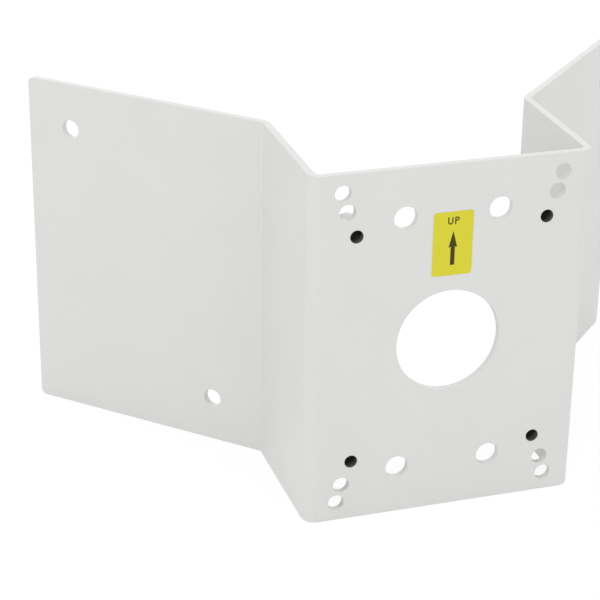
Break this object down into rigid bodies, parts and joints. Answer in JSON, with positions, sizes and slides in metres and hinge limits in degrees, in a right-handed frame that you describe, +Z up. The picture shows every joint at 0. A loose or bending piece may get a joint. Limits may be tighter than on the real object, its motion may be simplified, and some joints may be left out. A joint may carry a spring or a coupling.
{
  "type": "camera corner bracket",
  "caption": "Folded steel bracket for an outside corner: a front plate with a cable hole and threaded bushes, two straight webs and two angled wings that lie on the walls.",
  "frame": {"origin": "centre of the cable hole on the plate's front face", "axes": "+X to the right as seen from the front, +Y back from the plate towards the wall corner, +Z up"},
  "size_m": [0.3492, 0.1841, 0.19],
  "materials": {
    "painted_steel": "pale grey powder coat",
    "bush_steel": "pale grey powder coat over steel, bare in the thread",
    "label_film": "yellow printed film"
  },
  "bodies": {
    "root": {"bracket": "painted_steel", "threaded_bush_upper_left": "bush_steel", "threaded_bush_upper_right": "bush_steel", "threaded_bush_lower_left": "bush_steel", "threaded_bush_lower_right": "bush_steel", "up_label": "label_film"}
  },
  "joints": []
}
